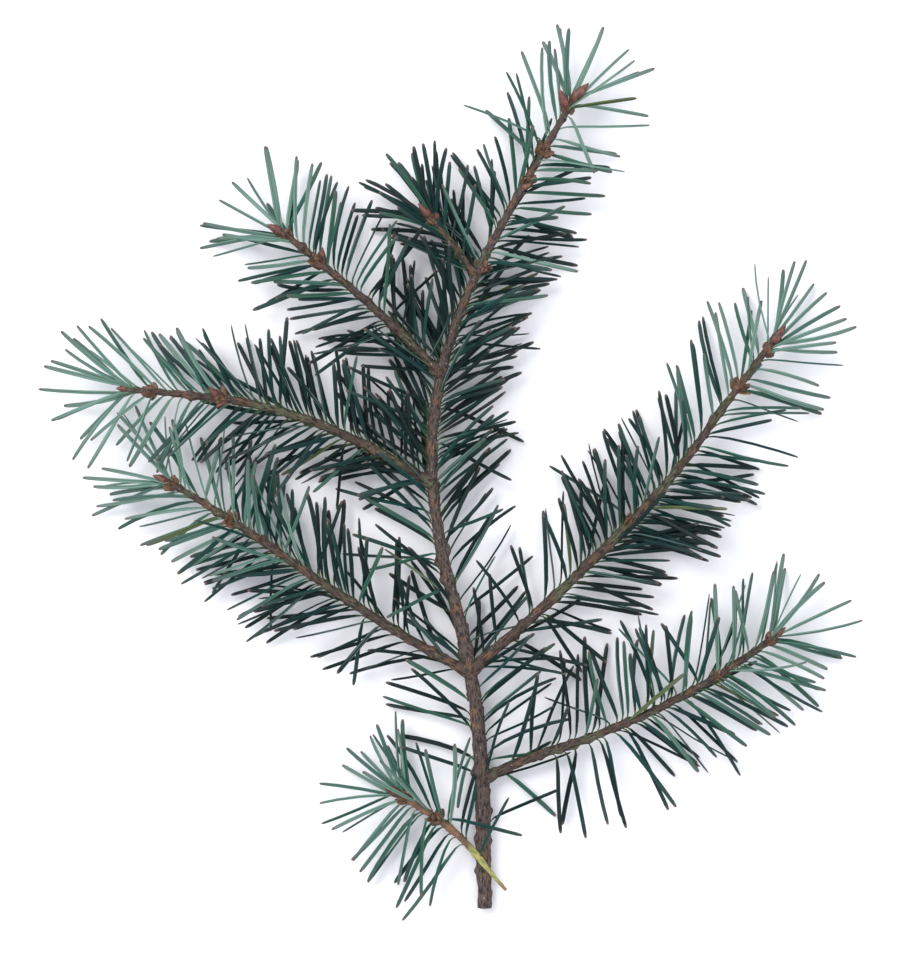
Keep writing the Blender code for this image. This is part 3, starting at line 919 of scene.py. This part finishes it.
def needle_map(tints):
    """Map corners of all the blades, each in the strip of its own tint, with discs for their ends."""
    rings, sides = len(SHARE_ALONG), len(SECTION_ACROSS)
    row, column = np.meshgrid(np.arange(rings - 1), np.arange(sides), indexing="ij")
    along = SHARE_ALONG[row[..., None] + QUAD_CORNERS[:, 0]]
    around = (column[..., None] + QUAD_CORNERS[:, 1]) / sides
    quads = np.stack((around, along), axis=-1).reshape(-1, 2)
    angle = np.arange(sides) / sides * FULL_TURN
    disc = np.stack((np.cos(angle), np.sin(angle)), axis=-1) * END_DISC
    one = np.concatenate((quads, (disc + FOOT_DISC_AT)[::-1], disc + TIP_DISC_AT))
    one[:, 0] = NEEDLE_MARGIN + (1.0 - 2.0 * NEEDLE_MARGIN) * one[:, 0]
    every = np.tile(one[None], (len(tints), 1, 1))
    every[..., 0] = (every[..., 0] + tints[:, None]) / len(TINTS)
    return every.reshape(-1, 2)


needle_materials = [needle_finish(number, *tint) for number, tint in enumerate(TINTS)]


def needle_piece(name, limb, seed, nodes):
    """All the needles of one limb, grown, shaped, tinted and joined into one mesh."""
    draw = np.random.default_rng(seed)
    groups = [rank_of_needles(draw, limb, "left"), rank_of_needles(draw, limb, "right"),
              tip_fan(draw, limb), lone_needles(limb)]
    grown = {key: np.concatenate([group[key] for group in groups]) for key in groups[0]}
    line = limb_lines[limb]
    count = len(grown["distance"])
    place = reading(line, "place", grown["distance"])
    radius = reading(line, "radius", grown["distance"])
    limb_heading = np.radians(grown["limb_heading"])
    flank = np.radians(grown["flank"])
    aside = grown["sign"] * np.cos(flank) * radius
    feet = place + np.stack((-np.sin(limb_heading) * aside, np.cos(limb_heading) * aside,
                             np.sin(flank) * radius), axis=-1)
    climb = (grown["tip_height"] - feet[:, 2]) / grown["length"]
    rise = np.degrees(np.arcsin(np.clip(climb, -STEEPEST, STEEPEST)))
    bend = draw.normal(0.0, BEND_SPREAD, count)
    paths = needle_paths(feet, grown["limb_heading"], grown["heading"], rise, grown["length"], bend)
    roll = draw.normal(0.0, ROLL_SPREAD, count)
    turned = draw.random(count) < TURNED_SHARE
    roll = np.where(turned, roll + draw.uniform(*TURNED_BY, count), roll)
    width = NEEDLE_WIDTH * draw.uniform(*WIDTHS, count)
    tints = tint_numbers(draw, grown["paleness"])
    faces = joined_tubes(count, len(SHARE_ALONG), len(SECTION_ACROSS))
    piece = new_piece(name, needle_blades(paths, roll, width), faces, needle_materials)
    add_map(piece, BAKE_MAP, needle_map(tints))
    tint_of_faces = np.repeat(tints, len(faces) // count).astype(np.int32)
    piece.data.polygons.foreach_set("material_index", tint_of_faces)
    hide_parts(*nodes)


for seed, limb in enumerate(NEEDLES, start=101):
    stood_for = limb.replace("twig_", "").replace("_stalk", "")
    nodes = [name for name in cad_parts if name.startswith("needles_" + stood_for)]
    needle_piece("needles_of_" + stood_for, limb, seed, nodes)


# The buds and their scales
# Egg-shaped buds of overlapping brown scales at the ends of the shoots, and rings of dry scales left
# where each year's growth began. Buds are turned shapes with raised scales; loose scales are blades.

# limb, distance along it, degrees from its heading, degrees up, length, width
BUDS = (
    ("stem", 234.0, -13.0, 14.0, 7.0, 3.3),
    ("stem", 231.5, 52.0, 16.0, 6.2, 3.0),
    ("stem", 206.5, -40.0, 35.0, 3.4, 2.2),
    ("stem", 182.0, -72.0, 15.0, 3.6, 2.2),
    ("twig_crown_left", 20.0, 4.0, 12.0, 5.2, 2.8),
    ("twig_upper_left", 59.0, 12.0, 14.0, 4.8, 2.7),
    ("twig_upper_left", 44.5, -50.0, 30.0, 5.6, 2.0),
    ("twig_middle_left", 64.0, -38.0, 25.0, 5.0, 2.5),
    ("twig_middle_left", 62.0, 46.0, 20.0, 4.2, 2.3),
    ("twig_middle_left", 89.5, 0.0, 8.0, 3.4, 2.0),
    ("twig_lower_left", 99.5, 8.0, 12.0, 4.4, 2.5),
    ("twig_upper_right", 123.5, 0.0, 12.0, 6.6, 3.0),
    ("twig_lower_right", 91.5, 4.0, 12.0, 3.4, 2.1),
    ("sprig_stalk", 40.0, 6.0, 16.0, 5.4, 3.1),
)
# limb, distance along it, number of scales, their length
SCALE_RINGS = (
    ("stem", 217.5, 14, 2.9), ("stem", 208.5, 10, 2.4),
    ("stem", 231.0, 8, 2.2), ("stem", 181.0, 12, 2.6),
    ("stem", 150.0, 7, 2.0), ("twig_upper_left", 45.0, 14, 2.9),
    ("twig_upper_left", 57.5, 7, 2.0), ("twig_middle_left", 63.0, 14, 3.0),
    ("twig_middle_left", 82.5, 11, 2.6), ("twig_lower_left", 78.0, 12, 2.6),
    ("twig_lower_left", 97.5, 9, 2.4), ("twig_lower_right", 71.0, 9, 2.2),
    ("twig_lower_right", 88.5, 9, 2.3), ("twig_upper_right", 108.0, 15, 3.1),
    ("twig_upper_right", 60.0, 9, 2.2), ("twig_upper_right", 121.0, 8, 2.2),
    ("twig_crown_left", 18.5, 9, 2.3), ("sprig_stalk", 27.0, 15, 3.0),
    ("sprig_stalk", 38.0, 9, 2.4),
)
BUD_RINGS = 22
BUD_SIDES = 20
BUD_ENDS = (0.04, 0.985)       # the shape is read between these, so neither end is a point
BUD_FULLEST = 0.6              # the less, the nearer the foot the bud is widest
BUD_BLUNTNESS = 0.75
BUD_SCALE_ROWS = 6.0
BUD_SPIRALS = 3.0
BUD_SCALE_STEP = 0.16
# A loose scale: widths from its foot to its tip, times one that is drawn for it.
SCALE_WIDTH = np.array((0.75, 0.85, 1.0, 1.1, 1.0, 0.8, 0.5, 0.3, 0.12))
SCALE_THICK = 0.3
SCALE_WIDTHS = (1.2, 2.2)
SCALE_LENGTHS = (0.7, 1.15)
SCALE_ANGLES = (-20.0, 200.0)  # round the limb, from its left side over the top
SCALE_OPENINGS = (15.0, 65.0)
SCALE_ROLL = 50.0
SCALE_SHIFT = 0.9
SCALE_SEAT = 0.8               # of the limb's radius, where a scale's foot is
SCALE_PATTERN = 900.0
SCALE_DARK_RANGE = (0.5, 0.36)
SCALE_LIGHT_RANGE = (0.58, 0.7)


def scale_finish(name, ground, dark, light):
    """Dry brown scales: a warm ground with darker and paler patches, slightly shiny."""
    material, shader, node, link = new_material(name, 0.5)
    patches = noise(node, link, node("ShaderNodeTexCoord").outputs["Object"], SCALE_PATTERN, 4.0)
    colour = shaded(node, link, ground, patches, SCALE_DARK_RANGE, dark)
    colour = shaded(node, link, colour, patches, SCALE_LIGHT_RANGE, light)
    link(colour, shader.inputs["Base Color"])
    return material


def bud_points(limb, at, lean, rise, length, width):
    """Rings of one bud: radius width/2 x sin(pi x share^0.6)^0.75, stepped by its spiral scales."""
    line = limb_lines[limb]
    heading = reading(line, "heading", at) + math.radians(lean)
    up = math.radians(rise)
    ahead = np.array((math.cos(up) * math.cos(heading), math.cos(up) * math.sin(heading), math.sin(up)))
    share = np.linspace(0.0, 1.0, BUD_RINGS)
    axis = dict(place=reading(line, "place", at) + share[:, None] * length * ahead)
    around = np.arange(BUD_SIDES) / BUD_SIDES * FULL_TURN
    shape = np.sin(math.pi * np.clip(share, *BUD_ENDS) ** BUD_FULLEST) ** BUD_BLUNTNESS
    spiral = (BUD_SCALE_ROWS * share[:, None] + BUD_SPIRALS * around[None, :] / FULL_TURN) % 1.0
    radius = 0.5 * width * shape[:, None] * (1.0 - BUD_SCALE_STEP * spiral)
    return tube_points(axis, around, radius).reshape(-1, 3)


bud_mesh = np.concatenate([bud_points(*row) for row in BUDS])
bud_scales = scale_finish("bud scales", (0.12, 0.042, 0.03), (0.045, 0.018, 0.015), (0.22, 0.105, 0.065))
new_piece("buds", bud_mesh, joined_tubes(len(BUDS), BUD_RINGS, BUD_SIDES), [bud_scales])


def scale_ring(draw, limb, at, count, length):
    """The paths of one ring of dry scales, round the limb's top and sides, opened off its line."""
    line = limb_lines[limb]
    spread = at + draw.uniform(-SCALE_SHIFT, SCALE_SHIFT, count)
    round_angle = np.radians(draw.uniform(*SCALE_ANGLES, count))[:, None]
    place, radius = reading(line, "place", spread), reading(line, "radius", spread)
    heading = reading(line, "heading", spread)
    left = np.stack((-np.sin(heading), np.cos(heading), np.zeros(count)), axis=-1)
    forward = np.stack((np.cos(heading), np.sin(heading), np.zeros(count)), axis=-1)
    outward = np.cos(round_angle) * left + np.sin(round_angle) * np.array((0.0, 0.0, 1.0))
    open_by = np.radians(draw.uniform(*SCALE_OPENINGS, count))[:, None]
    ahead = np.cos(open_by) * forward + np.sin(open_by) * outward
    reach = length * draw.uniform(*SCALE_LENGTHS, count)
    feet = place + SCALE_SEAT * radius[:, None] * outward
    return feet[:, None] + SHARE_ALONG[None, :, None] * reach[:, None, None] * ahead[:, None]


draw = np.random.default_rng(77)
scale_paths = np.concatenate([scale_ring(draw, *row) for row in SCALE_RINGS])
scale_rolls = draw.uniform(-SCALE_ROLL, SCALE_ROLL, len(scale_paths))
scale_widths = draw.uniform(*SCALE_WIDTHS, len(scale_paths))
scale_blades = needle_blades(scale_paths, scale_rolls, scale_widths, SCALE_WIDTH, SCALE_THICK)
dry_scales = scale_finish("dry scales", (0.125, 0.058, 0.03), (0.045, 0.022, 0.015), (0.30, 0.185, 0.10))
scale_faces = joined_tubes(len(scale_paths), len(SHARE_ALONG), len(SECTION_ACROSS))
new_piece("dry_scales", scale_blades, scale_faces, [dry_scales])


# The floor, the light and the view
# The branch lies on a pale floor and is seen from straight above. Soft light falls from the upper
# left, so the floor shows faint bluish shadows to the lower right.

CAMERA_HEIGHT = 750.0
CAMERA_ABOVE = (2.75, -1.08)
LENS = 100.0
SENSOR = 36.0
FLOOR_SIZE = 4000.0
FLOOR_COLOUR = (0.87, 0.87, 0.88, 1.0)
SKY_COLOUR = (0.90, 0.92, 1.0, 1.0)
SKY_STRENGTH = 1.0

bpy.ops.mesh.primitive_plane_add(size=FLOOR_SIZE * MM, location=(0.0, 0.0, 0.0))
floor = bpy.context.object
floor.name = "white_surface"
floor_finish, floor_shader, _, _ = new_material("white surface", 0.9)
floor_shader.inputs["Base Color"].default_value = FLOOR_COLOUR
floor_shader.inputs["Specular IOR Level"].default_value = 0.1
floor.data.materials.append(floor_finish)

world = bpy.data.worlds.new("soft daylight")
bpy.context.scene.world = world
world.use_nodes = True
sky = world.node_tree.nodes["Background"]
sky.inputs["Color"].default_value = SKY_COLOUR
sky.inputs["Strength"].default_value = SKY_STRENGTH


def soft_light(name, place, size, power, colour):
    """A square lamp, placed in metres, that faces the middle of the branch."""
    data = bpy.data.lights.new(name, "AREA")
    data.shape = "SQUARE"
    data.size = size
    data.energy = power
    data.color = colour
    lamp = bpy.data.objects.new(name, data)
    bpy.context.scene.collection.objects.link(lamp)
    lamp.location = place
    facing = np.array(place) / np.linalg.norm(place)
    lamp.rotation_euler = (math.acos(facing[2]), 0.0, math.atan2(facing[1], facing[0]) + 0.5 * math.pi)


soft_light("window", place=(-0.9, 0.9, 1.5), size=1.1, power=28.0, colour=(1.0, 0.99, 0.975))
soft_light("fill", place=(1.1, -0.6, 1.7), size=1.6, power=9.0, colour=(0.98, 0.985, 1.0))

camera_data = bpy.data.cameras.new("view from above")
camera_data.lens = LENS
camera_data.sensor_width = SENSOR
camera_data.sensor_fit = "AUTO"
camera_data.clip_start = 0.01
camera = bpy.data.objects.new("view from above", camera_data)
bpy.context.scene.collection.objects.link(camera)
camera.location = (CAMERA_ABOVE[0] * MM, CAMERA_ABOVE[1] * MM, CAMERA_HEIGHT * MM)
bpy.context.scene.camera = camera
bpy.context.scene.view_settings.view_transform = "Standard"
